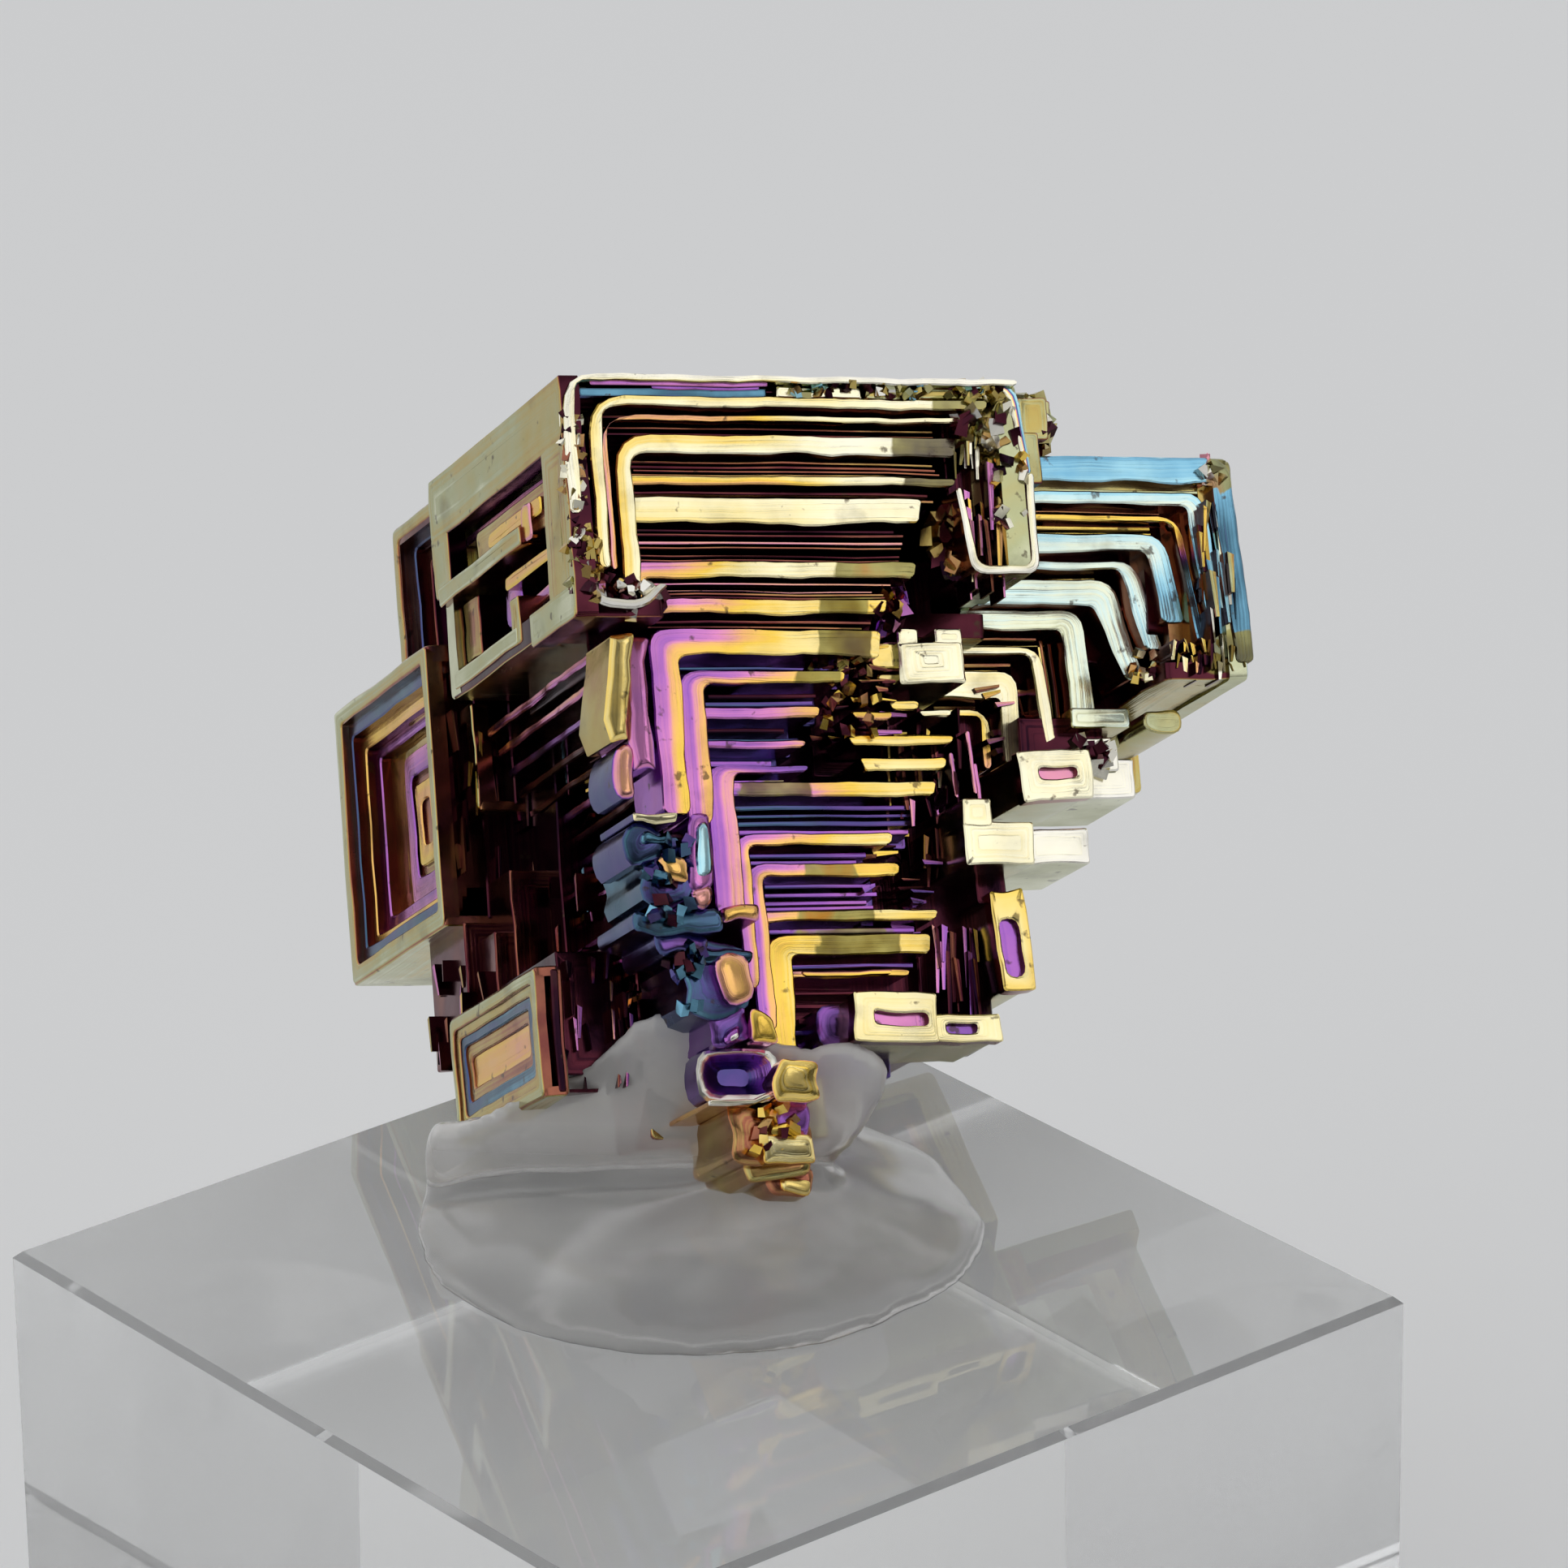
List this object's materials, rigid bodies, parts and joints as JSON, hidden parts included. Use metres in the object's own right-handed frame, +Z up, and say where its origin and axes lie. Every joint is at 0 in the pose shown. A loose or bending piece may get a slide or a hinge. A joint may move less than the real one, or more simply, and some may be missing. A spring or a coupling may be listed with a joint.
{
  "type": "bismuth hopper crystal on a display block",
  "caption": "Iridescent stepped hopper crystal of bismuth leaning back on one corner, held by clear glue on a clear square display block.",
  "frame": {"origin": "centre of the block's underside", "axes": "+Z up, X and Y along the sides of the square block, the crystal leans back towards +X and +Y"},
  "size_m": [0.0512, 0.0528, 0.0575],
  "materials": {
    "bismuth": "bismuth metal with an iridescent oxide film",
    "glue": "cloudy clear glue",
    "acrylic": "polished clear acrylic"
  },
  "bodies": {
    "root": {"bismuth_crystal": "bismuth", "clear_glue": "glue", "acrylic_block": "acrylic"}
  },
  "joints": []
}
